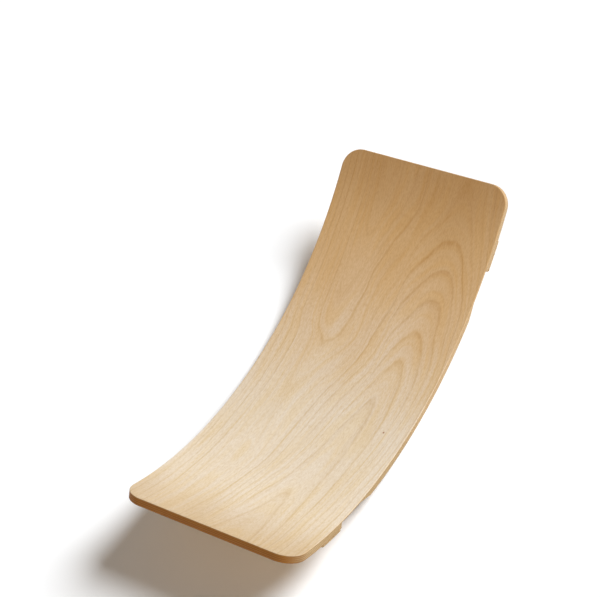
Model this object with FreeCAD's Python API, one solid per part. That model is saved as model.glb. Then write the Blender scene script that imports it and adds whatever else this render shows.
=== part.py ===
import FreeCAD, Part
import math
import os

# Balance board: a rocker of bent beech plywood, in millimetres.
#
# Nine sheets are pressed in a curved mould, trimmed to a rounded rectangle and sanded. The deck is the
# concave side, and the underside rolls on the floor. Two cork pads are glued across the underside, and
# four finger grips are bevelled into the lower arrises of the long sides.
#
# Frame: X runs along the board, Y across it, Z up. The origin is the middle of the underside, where the
# board touches the floor. Every surface of the panel is round the arc centre, a line along Y that is
# straight above the origin. Places along the board are lengths along the deck from the middle.

board_width = 300.0
deck_length = 783.0
rocker_radius = 570.0
corner_radius = 34.0

face_sheet = 1.2
core_sheet = 1.5
core_sheets = 7
edge_round = 1.0

pad_start = 257.0
pad_end = 308.0
pad_thickness = 3.5
pad_corner_radius = 2.0
pad_edge_round = 0.8

grip_start = 200.0
grip_end = 255.5
grip_fade = 32.0
grip_lip = face_sheet + core_sheet

trim_allowance = 8.0
clearance = 10.0
fade_overrun = 1.6
tolerance = 0.01

board_thickness = 2 * face_sheet + core_sheets * core_sheet
deck_radius = rocker_radius - board_thickness
half_width = board_width / 2
arc_centre = FreeCAD.Vector(0, 0, rocker_radius)
along_y = FreeCAD.Vector(0, 1, 0)

# The end faces stand square to the deck at the centres of the corner rounds, so that the rounds run
# smoothly into them over the whole thickness.
end_angle = deck_length / 2 / deck_radius
corner_angle = end_angle - math.asin(corner_radius / deck_radius)
blank_angle = end_angle + trim_allowance / deck_radius


def outward(angle):
    """The direction from the arc centre through the panel, square to it."""
    return FreeCAD.Vector(math.sin(angle), 0, -math.cos(angle))


def lengthwise(angle):
    """The direction along the panel, towards +X."""
    return FreeCAD.Vector(math.cos(angle), 0, math.sin(angle))


def place(radius, angle, y):
    """The point at a radius and an angle round the arc centre."""
    return arc_centre + outward(angle) * radius + along_y * y


def curved_sheet(inner_radius, outer_radius, first_angle, last_angle):
    """A sheet between two radii, over the full width of the board."""
    middle = (first_angle + last_angle) / 2
    inner_arc = Part.Arc(
        place(inner_radius, first_angle, -half_width),
        place(inner_radius, middle, -half_width),
        place(inner_radius, last_angle, -half_width),
    )
    outer_arc = Part.Arc(
        place(outer_radius, last_angle, -half_width),
        place(outer_radius, middle, -half_width),
        place(outer_radius, first_angle, -half_width),
    )
    last_side = Part.LineSegment(inner_arc.EndPoint, outer_arc.StartPoint)
    first_side = Part.LineSegment(outer_arc.EndPoint, inner_arc.StartPoint)
    edges = [curve.toShape() for curve in (inner_arc, last_side, outer_arc, first_side)]
    return Part.Face(Part.Wire(edges)).extrude(along_y * board_width)


def end_trim(side):
    """What the trimming cutter takes off one end: all that lies outside the rounded corners."""
    angle = side * corner_angle
    base = arc_centre + outward(angle) * (deck_radius - clearance)
    forward = lengthwise(angle) * side

    def spot(ahead, across):
        return base + forward * ahead + along_y * across

    straight = half_width - corner_radius
    diagonal = corner_radius * math.sqrt(0.5)
    beyond = corner_radius + trim_allowance + clearance
    beside = half_width + clearance
    left_round = Part.Arc(
        spot(0, half_width),
        spot(diagonal, straight + diagonal),
        spot(corner_radius, straight),
    )
    right_round = Part.Arc(
        spot(corner_radius, -straight),
        spot(diagonal, -straight - diagonal),
        spot(0, -half_width),
    )
    end_line = Part.LineSegment(left_round.EndPoint, right_round.StartPoint)
    surround = Part.makePolygon(
        [spot(0, -half_width), spot(0, -beside), spot(beyond, -beside)]
        + [spot(beyond, beside), spot(0, beside), spot(0, half_width)]
    )
    outline = [left_round.toShape(), end_line.toShape(), right_round.toShape()]
    face = Part.Face(Part.Wire(outline + surround.Edges))
    return face.extrude(outward(angle) * (board_thickness + 2 * clearance))


def finger_grip(side, edge):
    """A 45 degree bevel under one long side.

    It stops square beside the end pad, and fades out towards the middle of the board, where its flat
    tilts until it meets only the lower arris.
    """
    first_angle = side * grip_start / deck_radius
    last_angle = side * grip_end / deck_radius
    fade_angle = side * (grip_start - grip_fade) / deck_radius
    tip_radius = deck_radius + grip_lip
    low_radius = rocker_radius + clearance
    inner = half_width - (low_radius - tip_radius)
    outer = half_width + clearance
    profile = [
        place(tip_radius, first_angle, edge * half_width),
        place(low_radius, first_angle, edge * inner),
        place(low_radius, first_angle, edge * outer),
        place(tip_radius, first_angle, edge * outer),
    ]
    section = Part.Face(Part.makePolygon(profile + profile[:1]))
    bevel = section.revolve(arc_centre, along_y, -math.degrees(last_angle - first_angle))
    fade_point = place(rocker_radius, fade_angle, edge * half_width)
    apex = profile[0] + (fade_point - profile[0]) * fade_overrun
    faces = [section]
    for here, there in zip(profile, profile[1:] + profile[:1]):
        faces.append(Part.Face(Part.makePolygon([here, there, apex, here])))
    fade = Part.Solid(Part.Shell(faces))
    return [bevel, fade]


def edges_at(shape, radius):
    """The edges of a shape that lie wholly at one radius from the arc centre."""
    found = []
    for edge in shape.Edges:
        points = [edge.valueAt(value) for value in edge.ParameterRange]
        points.append(edge.valueAt(sum(edge.ParameterRange) / 2))
        radii = [math.hypot(point.x, point.z - rocker_radius) for point in points]
        if all(abs(value - radius) < tolerance for value in radii):
            found.append(edge)
    return found


def ply(inner_radius, thickness, rounded_radius=None):
    """One sheet of the panel, trimmed to the outline and cut by the grips that reach it.

    The outer arrises of the two veneers are sanded round: rounded_radius says where they are.
    """
    outer_radius = inner_radius + thickness
    blank = curved_sheet(inner_radius, outer_radius, -blank_angle, blank_angle)
    sheet = blank.cut([end_trim(-1), end_trim(1)])
    if rounded_radius:
        sheet = sheet.makeFillet(edge_round, edges_at(sheet, rounded_radius))
    if outer_radius > deck_radius + grip_lip + tolerance:
        for side in (-1, 1):
            for edge in (-1, 1):
                sheet = sheet.cut(finger_grip(side, edge))
    return sheet


def end_pad(side):
    """A cork strip across the underside, as wide as the board, with rounded corners and arrises."""
    angles = sorted(side * place_along / deck_radius for place_along in (pad_start, pad_end))
    outer_radius = rocker_radius + pad_thickness
    pad = curved_sheet(rocker_radius, outer_radius, angles[0], angles[1])
    short_edges = [edge for edge in pad.Edges if abs(edge.Length - pad_thickness) < tolerance]
    pad = pad.makeFillet(pad_corner_radius, short_edges)
    return pad.makeFillet(pad_edge_round, edges_at(pad, outer_radius))


nodes = {
    "face_veneer": ply(deck_radius, face_sheet, deck_radius),
    "back_veneer": ply(rocker_radius - face_sheet, face_sheet, rocker_radius),
    "end_pad_near": end_pad(-1),
    "end_pad_far": end_pad(1),
}
for number in range(core_sheets):
    inner_radius = deck_radius + face_sheet + number * core_sheet
    nodes["core_ply_" + str(number + 1)] = ply(inner_radius, core_sheet)

os.makedirs("parts", exist_ok=True)
for node, shape in nodes.items():
    shape.exportStep("parts/" + node + ".step")
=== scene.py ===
import math
from collections import namedtuple

import bmesh
import bpy
from mathutils import Matrix, Vector


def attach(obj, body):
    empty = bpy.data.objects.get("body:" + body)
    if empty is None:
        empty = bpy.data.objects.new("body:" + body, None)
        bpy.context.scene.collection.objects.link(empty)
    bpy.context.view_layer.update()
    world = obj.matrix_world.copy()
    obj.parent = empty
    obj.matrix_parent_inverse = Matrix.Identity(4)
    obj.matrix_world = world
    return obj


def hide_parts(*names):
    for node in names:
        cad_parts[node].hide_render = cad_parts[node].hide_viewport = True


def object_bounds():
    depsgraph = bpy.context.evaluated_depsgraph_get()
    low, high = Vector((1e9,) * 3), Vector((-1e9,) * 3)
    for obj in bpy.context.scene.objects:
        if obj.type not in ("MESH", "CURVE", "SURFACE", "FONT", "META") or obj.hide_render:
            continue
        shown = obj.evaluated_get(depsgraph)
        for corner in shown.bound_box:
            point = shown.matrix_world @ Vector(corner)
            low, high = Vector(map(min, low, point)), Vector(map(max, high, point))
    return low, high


# A bent-plywood balance board. Lengths are in metres, but materials work in millimetres. The board's
# own places are the distance along the deck from its middle, the distance across, and the depth below
# the deck. Every surface of the panel is round the arc centre, a line along Y above the origin.

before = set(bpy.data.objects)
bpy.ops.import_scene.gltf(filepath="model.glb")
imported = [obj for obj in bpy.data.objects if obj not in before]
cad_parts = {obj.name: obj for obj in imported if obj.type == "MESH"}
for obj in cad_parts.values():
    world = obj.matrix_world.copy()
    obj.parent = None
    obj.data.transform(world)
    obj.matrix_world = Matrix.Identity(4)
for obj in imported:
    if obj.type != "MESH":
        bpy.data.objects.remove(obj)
cad_low, cad_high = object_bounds()

MM = 0.001
HALF_WIDTH = cad_high.y
ROCKER_RADIUS = 570 * MM
DECK_LENGTH = 783 * MM
CORNER_RADIUS = 34 * MM
FACE_SHEET = 1.2 * MM
CORE_SHEET = 1.5 * MM
CORE_SHEETS = 7
EDGE_ROUND = 1.0 * MM
PAD_START = 257 * MM
PAD_END = 308 * MM
PAD_THICKNESS = 3.5 * MM
PAD_CORNER_RADIUS = 2 * MM
PAD_EDGE_ROUND = 0.8 * MM
GRIP_START = 200 * MM
GRIP_END = 255.5 * MM
GRIP_FADE = 32 * MM

PANEL = 2 * FACE_SHEET + CORE_SHEETS * CORE_SHEET
DECK_RADIUS = ROCKER_RADIUS - PANEL
END_ANGLE = DECK_LENGTH / 2 / DECK_RADIUS
CORNER_ANGLE = END_ANGLE - math.asin(CORNER_RADIUS / DECK_RADIUS)
GRIP_TIP_RADIUS = DECK_RADIUS + FACE_SHEET + CORE_SHEET

# the grip stops square: its end face leans by this angle, and above its tip it keeps this much depth
SQUARE_END = 0.1 * MM / DECK_RADIUS
LEAST_DEPTH = 0.3 * MM

# the glue line between two sheets shows as a fine groove round the edge
GROOVE = 0.07 * MM
GROOVE_HALF = 0.12 * MM

# how finely the meshes are divided: steps along the outlines and round the arrises, and columns across
# the flat surfaces; and the angle from which an edge is sharp
PLAIN_STEPS = 18
GRIP_STEPS = 8
CORNER_STEPS = 14
PAD_STEPS = 10
PAD_CORNER_STEPS = 8
ARRIS_STEPS = 6
VENEER_COLUMNS = 28
CORE_COLUMNS = 12
PAD_COLUMNS = 24
SHARP_ANGLE = math.radians(35)


# ---------------------------------------------------------------- meshes

def place(radius, angle, y):
    """The point at a radius and an angle round the arc centre."""
    return Vector((radius * math.sin(angle), y, ROCKER_RADIUS - radius * math.cos(angle)))


def quarter(steps):
    """Angles from 0 to 90 degrees."""
    return [math.pi / 2 * step / steps for step in range(steps + 1)]


def spread(first, last, steps):
    """Evenly spaced values from first up to, and without, last."""
    return [first + (last - first) * step / steps for step in range(steps)]


def panel_outline(radius, inset):
    """The trimmed outline at one depth: the angle and half width at each station along the board.

    A grip cuts in by as much as its depth below the tip, stops square at the pad, and fades out towards
    the middle of the board, later the deeper the level is.
    """
    wide = HALF_WIDTH - inset
    depth = max(0.0, radius - GRIP_TIP_RADIUS)
    fade = GRIP_FADE * max(depth, LEAST_DEPTH) / (ROCKER_RADIUS - GRIP_TIP_RADIUS)
    fade_start = (GRIP_START - fade) / DECK_RADIUS
    start = GRIP_START / DECK_RADIUS
    end = GRIP_END / DECK_RADIUS
    half = [(angle, wide) for angle in spread(0, fade_start, PLAIN_STEPS)]
    for step in range(GRIP_STEPS):
        angle = fade_start + (start - fade_start) * step / GRIP_STEPS
        half.append((angle, min(wide, HALF_WIDTH - depth * step / GRIP_STEPS)))
    for angle in spread(start, end, GRIP_STEPS) + [end]:
        half.append((angle, min(wide, HALF_WIDTH - depth)))
    half += [(angle, wide) for angle in spread(end + SQUARE_END, CORNER_ANGLE, PLAIN_STEPS)]
    corner = CORNER_RADIUS - inset
    for turn in quarter(CORNER_STEPS):
        angle = CORNER_ANGLE + math.asin(corner * math.sin(turn) / radius)
        half.append((angle, HALF_WIDTH - CORNER_RADIUS + corner * math.cos(turn)))
    return [(-angle, width) for angle, width in reversed(half[1:])] + half


def pad_outline(side):
    """The outline of an end pad at one depth, as a function like panel_outline."""
    def outline(radius, inset):
        corner = PAD_CORNER_RADIUS - inset
        first = (PAD_START + PAD_CORNER_RADIUS) / DECK_RADIUS
        last = (PAD_END - PAD_CORNER_RADIUS) / DECK_RADIUS
        wide = HALF_WIDTH - PAD_CORNER_RADIUS
        stations = [
            (first - corner / radius * math.cos(turn), wide + corner * math.sin(turn))
            for turn in quarter(PAD_CORNER_STEPS)[:-1]
        ]
        stations += [(angle, wide + corner) for angle in spread(first, last, PAD_STEPS)]
        stations += [
            (last + corner / radius * math.sin(turn), wide + corner * math.cos(turn))
            for turn in quarter(PAD_CORNER_STEPS)
        ]
        return [(side * angle, width) for angle, width in stations]
    return outline


def add_object(name, data):
    made = bpy.data.objects.new(name, data)
    bpy.context.scene.collection.objects.link(made)
    return made


def solid_between(name, outline, levels, columns):
    """A closed solid whose rim follows outline(radius, inset) through the levels, a list of such pairs.

    The first and last levels are closed by a grid over the full width, so that they follow the bend.
    Each corner of the mesh keeps its own place on the board, in millimetres, for the grain to follow.
    """
    fractions = [
        math.sin(math.pi / 2 * (2 * column / columns - 1)) for column in range(columns + 1)
    ]
    rows = len(outline(*levels[0]))
    rim = [(0, column) for column in range(columns)]
    rim += [(row, columns) for row in range(rows - 1)]
    rim += [(rows - 1, column) for column in range(columns, 0, -1)]
    rim += [(row, 0) for row in range(rows - 1, 0, -1)]
    grid = [(row, column) for row in range(rows) for column in range(columns + 1)]
    mesh = bmesh.new()
    board_places = []
    rings = []
    for number, (radius, inset) in enumerate(levels):
        stations = outline(radius, inset)
        capped = number in (0, len(levels) - 1)
        ring = {}
        for row, column in grid if capped else rim:
            angle, width = stations[row]
            y = fractions[column] * width
            ring[row, column] = mesh.verts.new(place(radius, angle, y))
            board_places.append((angle * DECK_RADIUS / MM, y / MM, (radius - DECK_RADIUS) / MM))
        rings.append(ring)
    for upper, lower in zip(rings, rings[1:]):
        for here, there in zip(rim, rim[1:] + rim[:1]):
            mesh.faces.new([upper[here], upper[there], lower[there], lower[here]])
    for ring in (rings[0], rings[-1]):
        for row in range(rows - 1):
            for column in range(columns):
                this_row = [(row, column), (row, column + 1)]
                next_row = [(row + 1, column + 1), (row + 1, column)]
                mesh.faces.new([ring[corner] for corner in this_row + next_row])
    bmesh.ops.recalc_face_normals(mesh, faces=mesh.faces)
    data = bpy.data.meshes.new(name)
    mesh.to_mesh(data)
    mesh.free()
    places = data.attributes.new("board_mm", "FLOAT_VECTOR", "POINT")
    places.data.foreach_set("vector", [value for spot in board_places for value in spot])
    data.shade_smooth()
    data.set_sharp_from_angle(angle=SHARP_ANGLE)
    return add_object(name, data)


def rounded_arris(radius, towards, size=EDGE_ROUND):
    """Levels that round an arris off, from the flat surface to the rim; towards is 1 going down."""
    levels = []
    for turn in quarter(ARRIS_STEPS):
        depth = size * (1 - math.cos(turn))
        levels.append((radius + towards * depth, size * (1 - math.sin(turn))))
    return levels


def glue_side(radius, towards):
    """Levels from the fine groove at a glue line to the full rim just inside the sheet."""
    return [(radius, GROOVE), (radius + towards * GROOVE_HALF, 0.0)]


def finish_piece(piece, node, material):
    piece.data.materials.append(material)
    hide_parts(node)
    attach(piece, "root")


def build_board(materials):
    top = DECK_RADIUS + FACE_SHEET
    deck = rounded_arris(DECK_RADIUS, 1) + glue_side(top, -1)[::-1]
    piece = solid_between("deck_veneer", panel_outline, deck, VENEER_COLUMNS)
    finish_piece(piece, "face_veneer", materials["deck"])
    for number in range(1, CORE_SHEETS + 1):
        upper = top + (number - 1) * CORE_SHEET
        lower = upper + CORE_SHEET
        levels = glue_side(upper, 1) + glue_side(lower, -1)[::-1]
        piece = solid_between("core_sheet_" + str(number), panel_outline, levels, CORE_COLUMNS)
        slot = "cross_grain_ply" if number % 2 else "long_grain_ply"
        finish_piece(piece, "core_ply_" + str(number), materials[slot])
    sole = glue_side(ROCKER_RADIUS - FACE_SHEET, 1) + rounded_arris(ROCKER_RADIUS, -1)[::-1]
    piece = solid_between("sole_veneer", panel_outline, sole, VENEER_COLUMNS)
    finish_piece(piece, "back_veneer", materials["sole"])
    for side, where in ((-1, "near"), (1, "far")):
        bottom = ROCKER_RADIUS + PAD_THICKNESS
        levels = [(ROCKER_RADIUS, 0.0)] + rounded_arris(bottom, -1, PAD_EDGE_ROUND)[::-1]
        piece = solid_between("cork_pad_" + where, pad_outline(side), levels, PAD_COLUMNS)
        finish_piece(piece, "end_pad_" + where, materials["cork"])


# ---------------------------------------------------------------- shader nodes

class Value:
    """The output of a shader node, which takes part in sums like a number."""

    def __init__(self, nodes, socket):
        self.nodes = nodes
        self.socket = socket

    def __add__(self, other):
        return self.nodes.math("ADD", self, other)

    def __sub__(self, other):
        return self.nodes.math("SUBTRACT", self, other)

    def __rsub__(self, other):
        return self.nodes.math("SUBTRACT", other, self)

    def __mul__(self, other):
        return self.nodes.math("MULTIPLY", self, other)

    __radd__ = __add__
    __rmul__ = __mul__


class Nodes:
    """Builds one material. Most calls take outputs or numbers, add nodes, and give the new output.

    A place is two or three coordinates, and a scale says how often a pattern repeats along each.
    """

    def __init__(self, name):
        self.material = bpy.data.materials.new(name)
        self.material.use_nodes = True
        self.tree = self.material.node_tree
        self.shader = self.tree.nodes["Principled BSDF"]

    def put(self, socket, value):
        if isinstance(value, Value):
            self.tree.links.new(value.socket, socket)
        else:
            socket.default_value = value

    def add(self, kind, output, inputs, **settings):
        node = self.tree.nodes.new("ShaderNode" + kind)
        for key, value in settings.items():
            setattr(node, key, value)
        for key, value in inputs.items():
            self.put(node.inputs[key], value)
        return Value(self, node.outputs[output])

    def math(self, operation, first, second=0.0, third=0.0):
        return self.add("Math", 0, {0: first, 1: second, 2: third}, operation=operation)

    def absolute(self, value):
        return self.math("ABSOLUTE", value)

    def diagonal(self, x, y):
        return self.math("SQRT", x * x + y * y)

    def split(self, vector):
        node = self.tree.nodes.new("ShaderNodeSeparateXYZ")
        self.put(node.inputs[0], vector)
        return [Value(self, output) for output in node.outputs]

    def join(self, x, y, z):
        return self.add("CombineXYZ", 0, {0: x, 1: y, 2: z})

    def scaled(self, place, scale, seed):
        """The place with each coordinate scaled. The seed is added to the third."""
        x, y, *rest = [value * factor for value, factor in zip(place, scale)]
        z = rest[0] if rest else 0.0
        return self.join(x, y, z + seed)

    def noise(self, place, scale, seed=0.0, detail=2.0, roughness=0.5):
        inputs = {
            "Vector": self.scaled(place, scale, seed),
            "Scale": 1.0,
            "Detail": detail,
            "Roughness": roughness,
        }
        return self.add("TexNoise", "Fac", inputs)

    def cells(self, vector, output="Distance", feature="F1"):
        """Cells round scattered points. The output is the distance to the nearest one, or as named."""
        inputs = {"Vector": vector, "Scale": 1.0}
        return self.add("TexVoronoi", output, inputs, feature=feature)

    def step(self, value, low, high, out_low=0.0, out_high=1.0):
        """A smooth step from out_low to out_high while value goes from low to high."""
        inputs = {0: value, 1: low, 2: high, 3: out_low, 4: out_high}
        return self.add("MapRange", 0, inputs, interpolation_type="SMOOTHSTEP")

    def curve(self, value, points):
        """A smooth curve through the points."""
        xs = [x for x, _ in points]
        ys = [y for _, y in points]
        across, up = xs[-1] - xs[0], max(ys) - min(ys)
        node = self.tree.nodes.new("ShaderNodeFloatCurve")
        line = node.mapping.curves[0]
        while len(line.points) < len(points):
            line.points.new(0.5, 0.5)
        for spot, (x, y) in zip(line.points, points):
            spot.location = ((x - xs[0]) / across, (y - min(ys)) / up)
            spot.handle_type = "AUTO_CLAMPED"
        node.mapping.update()
        self.put(node.inputs["Value"], (value - xs[0]) * (1 / across))
        return Value(self, node.outputs[0]) * up + min(ys)

    def blend(self, factor, first, second):
        """A colour between two others."""
        node = self.tree.nodes.new("ShaderNodeMix")
        node.data_type = "RGBA"
        self.put(node.inputs["Factor"], factor)
        colours = [socket for socket in node.inputs if socket.type == "RGBA"]
        for socket, colour in zip(colours, (first, second)):
            self.put(socket, colour if isinstance(colour, Value) else (*colour, 1))
        return Value(self, next(socket for socket in node.outputs if socket.type == "RGBA"))

    def tint(self, factor, colour, by):
        """A colour multiplied by another, as far as the factor says."""
        result = self.blend(factor, colour, by)
        result.socket.node.blend_type = "MULTIPLY"
        return result

    def shade(self, colour, roughness, height, depth_mm, specular, coat=0.0, coat_roughness=0.3):
        """Wires the surface up: its colour, its roughness, and a bump of the depth given."""
        bump = {"Strength": 1.0, "Distance": depth_mm * MM, "Height": height}
        self.put(self.shader.inputs["Base Color"], colour)
        self.put(self.shader.inputs["Roughness"], roughness)
        self.put(self.shader.inputs["Normal"], self.add("Bump", "Normal", bump))
        self.put(self.shader.inputs["Coat Weight"], coat)
        self.put(self.shader.inputs["Coat Roughness"], coat_roughness)
        self.put(self.shader.inputs["Specular IOR Level"], specular)
        return self.material


# ---------------------------------------------------------------- the wood's figure

# The deck's arches, as lists of places and values at them. The first four say, for each distance along
# the board in millimetres, the number of the ring on the arches' middle line, where that line lies
# across the board, how much wider the arches are above it than below, and how much their rings are
# crowded together further up.
RINGS_ALONG = [
    (-400, -0.1), (-223, 1), (-145, 1.25), (-58, 1.55), (-1, 2), (74, 3), (128, 4), (189, 5),
    (239, 6), (291, 7), (340, 7.7), (400, 7.95),
]
MIDDLE_LINE = [
    (-400, -42), (-243, -48), (-9, -68), (69, -77), (123, -80), (184, -85), (281, -83), (400, -80),
]
WIDER_ABOVE = [
    (-400, 1.35), (-271, 1.3), (-191, 1.12), (-111, 1.0), (24, 0.97), (60, 1.05), (100, 1.22),
    (159, 1.55), (254, 1.85), (400, 2.0),
]
CROWDED_ABOVE = [(-400, 1.7), (-271, 1.35), (-191, 0.8), (-91, 0.14), (0, 0), (400, 0)]
CROWDED_FROM = 30

# The next two say, for each distance from the middle line, how many rings lie between, and how many
# fewer lie there towards the far end, where the tips of the arches are blunter.
RINGS_ACROSS = [
    (-130, 9.2), (-100, 6.8), (-80, 5), (-63, 3.2), (-51, 2.1), (-39, 1.35), (-31, 1), (-20, 0.54),
    (-12, 0.28), (-5, 0.05), (0, 0), (5, 0.05), (10, 0.22), (17, 0.54), (26, 1), (31, 1.3),
    (35, 1.75), (40, 2.5), (50, 3.2), (67, 4.15), (82, 5.15), (126, 6.95), (170, 9.0), (250, 12),
]
BLUNTER = [
    (-250, 0), (-42, 0), (-30, 0.12), (-20, 0.22), (-12, 0.17), (-5, 0.03), (0, 0), (4, 0.01),
    (10, 0.04), (18, 0), (250, 0),
]
BLUNTER_ALONG = (20, 160)

# The ridge above the arches: the number of its ring on the board's own middle line, how many rings it
# loses per millimetre from there, how many it gains along the board, and how smoothly it is joined on.
# The shift is added to every ring number on the deck, and moves the dark lines a little.
RIDGE_RING = 14.6
RIDGE_SLOPE = 0.07
RIDGE_LIFT = [(-400, 0), (30, 0), (60, 0.2), (88, 1.4), (134, 2.4), (190, 2.7), (400, 3.0)]
RIDGE_BLEND = 3.0
RING_SHIFT = 0.045

# The underside's arches: where their middle line lies, how blunt their tips are, the number that their
# rings are counted from, and how many rings they have per millimetre across and along.
SOLE_MIDDLE = 35
SOLE_BLUNTNESS = 260
SOLE_RING = 8
SOLE_RINGS_ACROSS = 0.062
SOLE_RINGS_ALONG = 0.009

# how dark each ring is, by its number, and how the late wood darkens from one ring to the next
DECK_STRENGTHS = [
    (0, 0.3), (1, 0.9), (2, 0.95), (3, 0.8), (4, 0.8), (5, 0.8), (6, 0.8), (7, 1.0), (8, 0.35),
    (9, 0.3), (10, 0.8), (11, 0.35), (14, 0.3),
]
SOLE_STRENGTHS = [(0, 0.6), (4, 0.8), (8, 0.6), (11, 1.0), (13, 0.6), (20, 0.6)]
LATE_WOOD = [(0, 0.5), (0.08, 0.0), (0.55, 0.0), (0.83, 0.3), (0.94, 0.97), (1, 0.5)]

# the pin knots, by their distances along and across the board in millimetres
DECK_KNOT = (-60, -112.5)
SOLE_KNOT = (118, 64)


def deck_rings(nodes, s, y):
    """The number of the ring at each place on the deck. A dark line lies at each whole number.

    Rings 1 to 7 are nested arches that point to the far end. Above them the rings run straight, and
    then turn over a ridge, where they open towards the far end.
    """
    slow = nodes.noise((s, y), (0.011, 0.03), 3.1) - 0.5
    quick = nodes.noise((s, y), (0.045, 0.06), 7.7) - 0.5
    ripple = nodes.noise((s, y), (0.13, 0.15), 11.3) - 0.5
    s = s + slow * 12 + quick * 5 + ripple * 4
    y = y + slow * 5 + quick * 1.6 + ripple * 1.2
    from_middle = y - nodes.curve(s, MIDDLE_LINE)
    below = nodes.math("MINIMUM", from_middle, 0.0)
    above = nodes.math("MAXIMUM", from_middle, 0.0)
    above = nodes.math("DIVIDE", above, nodes.curve(s, WIDER_ABOVE))
    far_above = nodes.math("MAXIMUM", above - CROWDED_FROM, 0.0)
    above = above + far_above * nodes.curve(s, CROWDED_ABOVE)
    arches = nodes.curve(s, RINGS_ALONG) + nodes.curve(below + above, RINGS_ACROSS)
    arches = arches - nodes.curve(below + above, BLUNTER) * nodes.step(s, *BLUNTER_ALONG)
    arches = arches + nodes.step(above, 50, 78) * nodes.step(s, 28, 88, 0.0, 0.65)
    lift = nodes.curve(s, RIDGE_LIFT) * nodes.step(y, 60, 145, 1.0, 0.25)
    ridge = RIDGE_RING - y * RIDGE_SLOPE + lift
    return nodes.math("SMOOTH_MIN", arches, ridge, RIDGE_BLEND) + RING_SHIFT


def sole_rings(nodes, s, y):
    """The same for the underside: wider arches, off centre, that point to the near end."""
    slow = nodes.noise((s, y), (0.009, 0.025), 21.3) - 0.5
    quick = nodes.noise((s, y), (0.045, 0.06), 27.7) - 0.5
    y = y - SOLE_MIDDLE + slow * 26 + quick * 2
    across = nodes.math("SQRT", y * y + SOLE_BLUNTNESS)
    return across * SOLE_RINGS_ACROSS - s * SOLE_RINGS_ALONG + slow * 1.5 + SOLE_RING


def ring_lines(nodes, ring, strengths, s, y):
    """How dark the late wood is, and the thin lines between the rings, which come and go."""
    late = nodes.curve(nodes.math("FRACT", ring), LATE_WOOD)
    broken = nodes.step(nodes.noise((s, y), (0.03, 0.12), 1.3), 0.25, 0.62, 0.5, 1.0)
    line = late * nodes.curve(ring, strengths) * broken
    thin = nodes.step(nodes.noise((ring, s), (3.3, 0.002), 6.1, detail=1.0), 0.56, 0.68)
    return line, thin * nodes.step(nodes.noise((s, y), (0.012, 0.05), 12.5), 0.4, 0.65)


def ray_flecks(nodes, s, y):
    """The short dark flecks of beech, which are missing in places."""
    scale = (0.16, 1.1)
    ray = nodes.cells(nodes.scaled((s, y), scale, 2.2))
    kept = nodes.noise((s, y), scale, 4.0)
    return nodes.step(ray, 0.2, 0.55, 1.0, 0.0) * nodes.step(kept, 0.4, 0.56)


# ---------------------------------------------------------------- materials

# Colours are linear. The wood of a veneer has two shades, its rings, and a tint towards the far end.
Wood = namedtuple("Wood", "pale tan ring far_tint")
# on the deck, the darker, warmer far end is mostly painted shade and painted warm bounce light, with
# some real drift of tone
DECK_WOOD = Wood(
    pale=(0.68, 0.585, 0.475),
    tan=(0.625, 0.51, 0.37),
    ring=(0.465, 0.30, 0.115),
    far_tint=(0.985, 0.775, 0.505),
)
SOLE_WOOD = Wood(
    pale=(0.66, 0.51, 0.345),
    tan=(0.58, 0.42, 0.26),
    ring=(0.42, 0.25, 0.12),
    far_tint=(0.97, 0.90, 0.80),
)
HONEY = (0.995, 0.955, 0.85)
SHADE = (0.93, 0.90, 0.86)
PIN_KNOT = (0.22, 0.07, 0.016)

EDGE_PALE = (0.65, 0.485, 0.285)
EDGE_TAN = (0.545, 0.385, 0.195)
END_GRAIN_PALE = (0.52, 0.33, 0.155)
END_GRAIN_DARK = (0.36, 0.20, 0.085)
GLUE = (0.20, 0.10, 0.035)

# painted shade on the rim, as tints: along its near half, round its near corners, on both end faces,
# and on the near end face
NEAR_RIM_PAINTED_SHADE = (0.82, 0.80, 0.71)
NEAR_CORNER_PAINTED_SHADE = (0.80, 0.67, 0.53)
END_FACE_PAINTED_SHADE = (0.96, 0.88, 0.77)
NEAR_END_PAINTED_SHADE = (1.0, 0.77, 0.25)

# what hands have done: a tint towards both ends, and the colour of a worn arris
HANDS = (0.80, 0.71, 0.58)
HANDLED = (0.46, 0.31, 0.16)

CORK_PALE = (0.68, 0.49, 0.28)
CORK_TAN = (0.52, 0.345, 0.17)
CORK_DARK = (0.24, 0.13, 0.055)
CORK_GRANULES_PER_MM = 0.8

FLOOR_PAPER = (0.93, 0.93, 0.925)
PAPER_TOOTH_PER_METRE = 900

# the distances along the board, in millimetres, between which these tints, among them the painted
# shade on the rim and towards the far end, and the depth of the rings' colour change
NEAR_RIM_PAINTED_SHADE_ALONG = (-150, 100)
NEAR_CORNER_PAINTED_SHADE_ALONG = (-372, -345)
NEAR_END_PAINTED_SHADE_ALONG = (-375, -352)
DEEPER_LINES_ALONG = (-200, 100)
FAR_SHADE_AND_TINT_ALONG = (-20, 380)
HANDS_FROM_MIDDLE = (245, 388)


def board_place(nodes):
    """The place on the board in millimetres: along it, across it, and how far below the deck."""
    return nodes.split(nodes.add("Attribute", "Vector", {}, attribute_name="board_mm"))


def facing(nodes, axis, low, high):
    """From 0 to 1 while the surface turns to face along an axis, either way."""
    normal = nodes.split(nodes.add("NewGeometry", "Normal", {}))
    return nodes.step(nodes.absolute(normal[axis]), low, high)


def facing_side(nodes):
    """1 on the long sides of the board and 0 on its ends and flat surfaces."""
    return facing(nodes, 1, 0.35, 0.85)


def facing_end(nodes):
    """1 on the rim at the ends of the board and round most of each corner, and 0 along the sides."""
    return facing(nodes, 0, 0.38, 0.66)


def painted_near_half_shade(nodes, colour, s, rim):
    """Painted shade: the rim and the pads are deeper in colour along the near half."""
    return nodes.tint(rim * nodes.step(s, *NEAR_RIM_PAINTED_SHADE_ALONG, 1.0, 0.0), colour, NEAR_RIM_PAINTED_SHADE)


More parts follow.
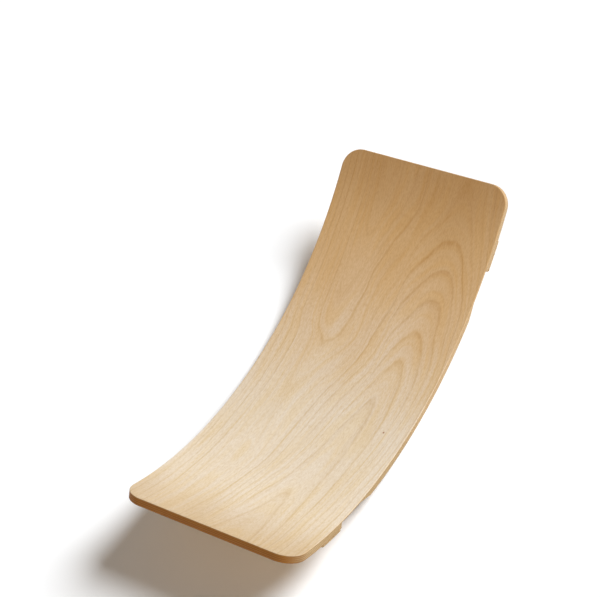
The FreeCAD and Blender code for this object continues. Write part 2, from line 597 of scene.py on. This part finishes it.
def painted_rim_shade(nodes, colour, s, rim):
    """The rim, far deeper in colour round the near end than along the near half: painted shade.

    Both end faces are also a little darker, which is painted shade too.
    """
    # painted shade along the near half
    colour = painted_near_half_shade(nodes, colour, s, rim)
    # painted shade round the near corners
    colour = nodes.tint(rim * nodes.step(s, *NEAR_CORNER_PAINTED_SHADE_ALONG, 1.0, 0.0), colour, NEAR_CORNER_PAINTED_SHADE)
    # painted shade on both end faces
    end = rim * facing_end(nodes)
    colour = nodes.tint(end, colour, END_FACE_PAINTED_SHADE)
    # painted shade on the near end face
    return nodes.tint(end * nodes.step(s, *NEAR_END_PAINTED_SHADE_ALONG, 1.0, 0.0), colour, NEAR_END_PAINTED_SHADE)


def glue_line(nodes, depth):
    """1 on the glue lines between the sheets."""
    from_line = nodes.math("FRACT", (depth - FACE_SHEET / MM) * (MM / CORE_SHEET) + 0.5)
    gap = nodes.absolute(from_line - 0.5) * (CORE_SHEET / MM)
    return nodes.step(gap, 0.05, 0.2, 1.0, 0.0)


def inset_from_edge(nodes, s, y):
    """How far a place on the panel is from its rounded outline, in millimetres."""
    corner = CORNER_RADIUS / MM
    x = nodes.absolute(s) - (DECK_LENGTH / 2 / MM - corner)
    y = nodes.absolute(y) - (HALF_WIDTH / MM - corner)
    outer = nodes.diagonal(nodes.math("MAXIMUM", x, 0.0), nodes.math("MAXIMUM", y, 0.0))
    inner = nodes.math("MINIMUM", nodes.math("MAXIMUM", x, y), 0.0)
    return corner - outer - inner


def pin_knot(nodes, colour, s, y, knot):
    """A dark spot, a little longer than it is wide."""
    from_knot = nodes.diagonal((s - knot[0]) * 0.6, y - knot[1])
    return nodes.blend(nodes.step(from_knot, 0.6, 1.6, 0.85, 0.0), colour, PIN_KNOT)


def handled(nodes, colour, s, y, depth, mottle):
    """Darkened by hands towards both ends, less at the far one, and scuffed along the arris."""
    held = nodes.step(nodes.absolute(s) - mottle * 16, *HANDS_FROM_MIDDLE)
    colour = nodes.tint(held * nodes.step(s, -50, 50, 1.0, 0.6), colour, HANDS)
    worn = nodes.step(inset_from_edge(nodes, s, y), 0.0, 5.0, 1.0, 0.0)
    scuff = nodes.noise((s, y, depth), (0.08, 0.08, 0.5), detail=4.0, roughness=0.7)
    return nodes.blend(worn * nodes.step(scuff, 0.4, 0.7, 0.05, 0.3), colour, HANDLED)


def veneer(name, wood, rings, strengths, knot, surface_depth):
    """A face veneer: its figure and one pin knot on the flat surface, and its edge round the rim."""
    nodes = Nodes(name)
    s, y, depth = board_place(nodes)
    ring = rings(nodes, s, y)
    line, thin = ring_lines(nodes, ring, strengths, s, y)
    fleck = ray_flecks(nodes, s, y)
    contour = nodes.noise((ring, s, y), (9, 0.006, 0.004), detail=3.0, roughness=0.6)
    honey = nodes.noise((ring, s), (2.2, 0.008), 17.0)
    fibre = nodes.noise((s, y), (0.02, 0.8), 5.5, detail=3.0, roughness=0.65)
    cloud = nodes.noise((s, y), (0.005, 0.016), 9.9)
    mottle = nodes.noise((s, y), (0.13, 0.5), 14.0, roughness=0.65)
    pore = nodes.noise((s, y), (0.12, 3.2), 8.8, detail=3.0, roughness=0.7)
    speckle = nodes.noise((s, y, depth), (2.2, 2.2, 2.2))

    colour = nodes.blend(nodes.step(contour * 0.45 + cloud * 0.55, 0.3, 0.72), wood.pale, wood.tan)
    colour = nodes.blend(nodes.step(fibre, 0.45, 0.75, 0.0, 0.55), colour, wood.tan)
    colour = nodes.tint(nodes.step(honey, 0.4, 0.64), colour, HONEY)
    deeper = nodes.step(s, *DEEPER_LINES_ALONG, 0.41, 0.48)
    colour = nodes.blend(line * deeper + thin * 0.15, colour, wood.ring)
    colour = nodes.blend(fleck * 0.34, colour, wood.ring)
    colour = nodes.tint(nodes.step(mottle, 0.38, 0.66), colour, SHADE)
    # painted shade and painted warm bounce light: darker and warmer towards the far end, with some real
    # drift of tone
    far = nodes.step(s + mottle * 60 + cloud * 120, *FAR_SHADE_AND_TINT_ALONG)
    colour = nodes.tint(far, colour, wood.far_tint)
    colour = pin_knot(nodes, colour, s, y, knot)

    rim = nodes.step(nodes.absolute(depth - surface_depth), 0.2, 0.8)
    end_grain = rim * (1 - facing_side(nodes)) * nodes.step(speckle, 0.3, 0.7, 0.35, 0.8)
    colour = nodes.blend(end_grain, colour, END_GRAIN_DARK)
    # painted shade on the rim: deeper along the near half, round the near corners and on the end faces
    colour = painted_rim_shade(nodes, colour, s, rim)
    colour = handled(nodes, colour, s, y, depth, mottle)
    colour = nodes.blend(glue_line(nodes, depth) * rim * 0.8, colour, GLUE)

    roughness = 0.44 + pore * 0.1 - line * 0.05 + rim * 0.12 + fleck * 0.05
    height = fibre * 0.35 + pore * 0.5 + speckle * rim * 0.6 - line * 0.3
    return nodes.shade(colour, roughness, height, 0.06, specular=0.3, coat=0.08, coat_roughness=0.35)


def ply_edge(name, seed, side_is_end_grain):
    """The edge of a core sheet: streaks where it is cut along its fibres, dark pores across them."""
    nodes = Nodes(name)
    s, y, depth = board_place(nodes)
    here = (s, y, depth)
    long_side = facing_side(nodes)
    end = long_side if side_is_end_grain else 1 - long_side
    streak = nodes.noise(here, (0.025, 0.025, 2.6), seed, detail=4.0, roughness=0.65)
    pale = nodes.blend(nodes.step(streak, 0.3, 0.7), EDGE_PALE, EDGE_TAN)
    speckle = nodes.noise(here, (1.6, 1.6, 2.4), seed, detail=3.0, roughness=0.6)
    dark = nodes.blend(nodes.step(speckle, 0.32, 0.66), END_GRAIN_DARK, END_GRAIN_PALE)
    colour = nodes.blend(end, pale, dark)
    drift = nodes.noise(here, (0.018, 0.018, 0.4), seed)
    colour = nodes.blend(nodes.step(drift, 0.4, 0.75, 0.0, 0.5), colour, END_GRAIN_PALE)
    colour = nodes.blend(glue_line(nodes, depth) * 0.8, colour, GLUE)
    # painted shade on the rim: deeper along the near half, round the near corners and on the end faces
    colour = painted_rim_shade(nodes, colour, s, 1.0)
    height = streak * 0.5 * (1 - end) + speckle * end
    return nodes.shade(colour, 0.58 + end * 0.12 + speckle * 0.1, height, 0.12, specular=0.35)


def cork_grain(name):
    """Pressed cork: granules of several browns with dark gaps between them."""
    nodes = Nodes(name)
    s, y, depth = board_place(nodes)
    jitter = nodes.noise((s, y, depth), (0.5, 0.5, 0.5))
    along = s * CORK_GRANULES_PER_MM + jitter
    across = y * CORK_GRANULES_PER_MM + jitter
    granules = nodes.join(along, across, depth * CORK_GRANULES_PER_MM)
    tone = nodes.add("SeparateColor", 0, {0: nodes.cells(granules, "Color")})
    gap = nodes.cells(granules, feature="DISTANCE_TO_EDGE")
    colour = nodes.blend(nodes.step(tone, 0.0, 1.0), CORK_PALE, CORK_TAN)
    colour = nodes.blend(nodes.step(tone, 0.86, 0.95), colour, CORK_DARK)
    seam = nodes.step(gap, 0.02, 0.12, 1.0, 0.0)
    colour = nodes.blend(seam * 0.7, colour, CORK_DARK)
    # painted shade on the near pad
    colour = painted_near_half_shade(nodes, colour, s, 1.0)
    fine = nodes.noise((s, across, depth), (3, 3, 3), detail=3.0, roughness=0.7)
    height = nodes.step(gap, 0.0, 0.2) * 0.6 + fine * 0.5 + tone * 0.25
    return nodes.shade(colour, 0.78 + fine * 0.14, height, 0.14, specular=0.25)


def paper(name, colour):
    """The studio floor: matt paper with a faint tooth."""
    nodes = Nodes(name)
    x, y, _ = nodes.split(nodes.add("TexCoord", "Object", {}))
    scale = (PAPER_TOOTH_PER_METRE, PAPER_TOOTH_PER_METRE)
    tooth = nodes.noise((x, y), scale, detail=3.0, roughness=0.6)
    darker = tuple(value * 0.985 for value in colour)
    surface = nodes.blend(tooth, darker, colour)
    return nodes.shade(surface, 0.9 + tooth * 0.05, tooth, 0.02, specular=0.1)


# ---------------------------------------------------------------- the scene round the board

FLOOR_REACH = 60.0

# the studio's light: its colour, how bright it is at the horizon and overhead, and how far up, from 0
# at the horizon to 1 overhead, it starts and stops to fade
STUDIO_COLOUR = (1.0, 0.985, 0.97)
HORIZON = 1.0
OVERHEAD = 0.12
FADE_START = 0.05
FADE_END = 0.5

# the camera: where it stands, which way it looks and is rolled, and its sensor and lens in millimetres
CAMERA_PLACE = (-1.1377, -1.0706, 2.1414)
CAMERA_HEADING = math.radians(43.84)
CAMERA_DOWN = math.radians(50.54)
CAMERA_ROLL = math.radians(-18.78)
CAMERA_SENSOR = 36
CAMERA_LENS = 99.16


def add_floor():
    data = bpy.data.meshes.new("floor")
    near, far = -FLOOR_REACH, FLOOR_REACH
    corners = [(near, near, 0), (far, near, 0), (far, far, 0), (near, far, 0)]
    data.from_pydata(corners, [], [(0, 1, 2, 3)])
    floor = add_object("floor", data)
    floor.data.materials.append(paper("floor_paper", FLOOR_PAPER))


def add_sun(name, towards, angle, strength, colour):
    """A large soft light, far away in the direction given."""
    lamp = bpy.data.lights.new(name, "SUN")
    lamp.angle = math.radians(angle)
    lamp.energy = strength
    lamp.color = colour
    light = add_object(name, lamp)
    light.rotation_euler = Vector(towards).to_track_quat("Z", "Y").to_euler()


def add_studio():
    """Light from all round, brightest at the horizon."""
    world = bpy.data.worlds.new("studio")
    bpy.context.scene.world = world
    world.use_nodes = True
    tree = world.node_tree
    background = tree.nodes["Background"]
    background.inputs["Color"].default_value = (*STUDIO_COLOUR, 1)
    direction = tree.nodes.new("ShaderNodeTexCoord")
    parts = tree.nodes.new("ShaderNodeSeparateXYZ")
    fade = tree.nodes.new("ShaderNodeMapRange")
    fade.interpolation_type = "SMOOTHSTEP"
    for number, value in enumerate((FADE_START, FADE_END, HORIZON, OVERHEAD), start=1):
        fade.inputs[number].default_value = value
    tree.links.new(direction.outputs["Generated"], parts.inputs[0])
    tree.links.new(parts.outputs["Z"], fade.inputs[0])
    tree.links.new(fade.outputs[0], background.inputs["Strength"])


def add_lights():
    """The studio, a cool window over the far end, and a warm bounce from the near end."""
    add_studio()
    add_sun("window", (0.54, -0.47, 0.7), 28, 4.1, (0.955, 1.0, 1.05))
    add_sun("warm_bounce", (-0.75, 0.17, 0.62), 50, 0.5, (1.0, 0.66, 0.34))


def add_camera():
    """Looks down along the board from its near right corner, rolled as if the board were rocked."""
    level = math.cos(CAMERA_DOWN)
    ahead = level * math.cos(CAMERA_HEADING)
    aside = level * math.sin(CAMERA_HEADING)
    forward = Vector((ahead, aside, -math.sin(CAMERA_DOWN)))
    level_right = forward.cross(Vector((0, 0, 1))).normalized()
    level_up = level_right.cross(forward)
    right = level_right * math.cos(CAMERA_ROLL) + level_up * math.sin(CAMERA_ROLL)
    up = right.cross(forward)
    lens = bpy.data.cameras.new("camera")
    lens.sensor_width = CAMERA_SENSOR
    lens.lens = CAMERA_LENS
    lens.clip_start = 0.05
    lens.clip_end = 50
    camera = add_object("camera", lens)
    turned = Matrix((right, up, -forward)).transposed().to_4x4()
    camera.matrix_world = Matrix.Translation(CAMERA_PLACE) @ turned
    bpy.context.scene.camera = camera


sole_depth = PANEL / MM
materials = {
    "deck": veneer("deck_beech", DECK_WOOD, deck_rings, DECK_STRENGTHS, DECK_KNOT, 0.0),
    "sole": veneer("sole_beech", SOLE_WOOD, sole_rings, SOLE_STRENGTHS, SOLE_KNOT, sole_depth),
    "cross_grain_ply": ply_edge("cross_grain_beech", 3.0, True),
    "long_grain_ply": ply_edge("long_grain_beech", 60.0, False),
    "cork": cork_grain("pressed_cork"),
}
build_board(materials)
add_floor()
add_lights()
add_camera()
bpy.context.scene.view_settings.view_transform = "Standard"
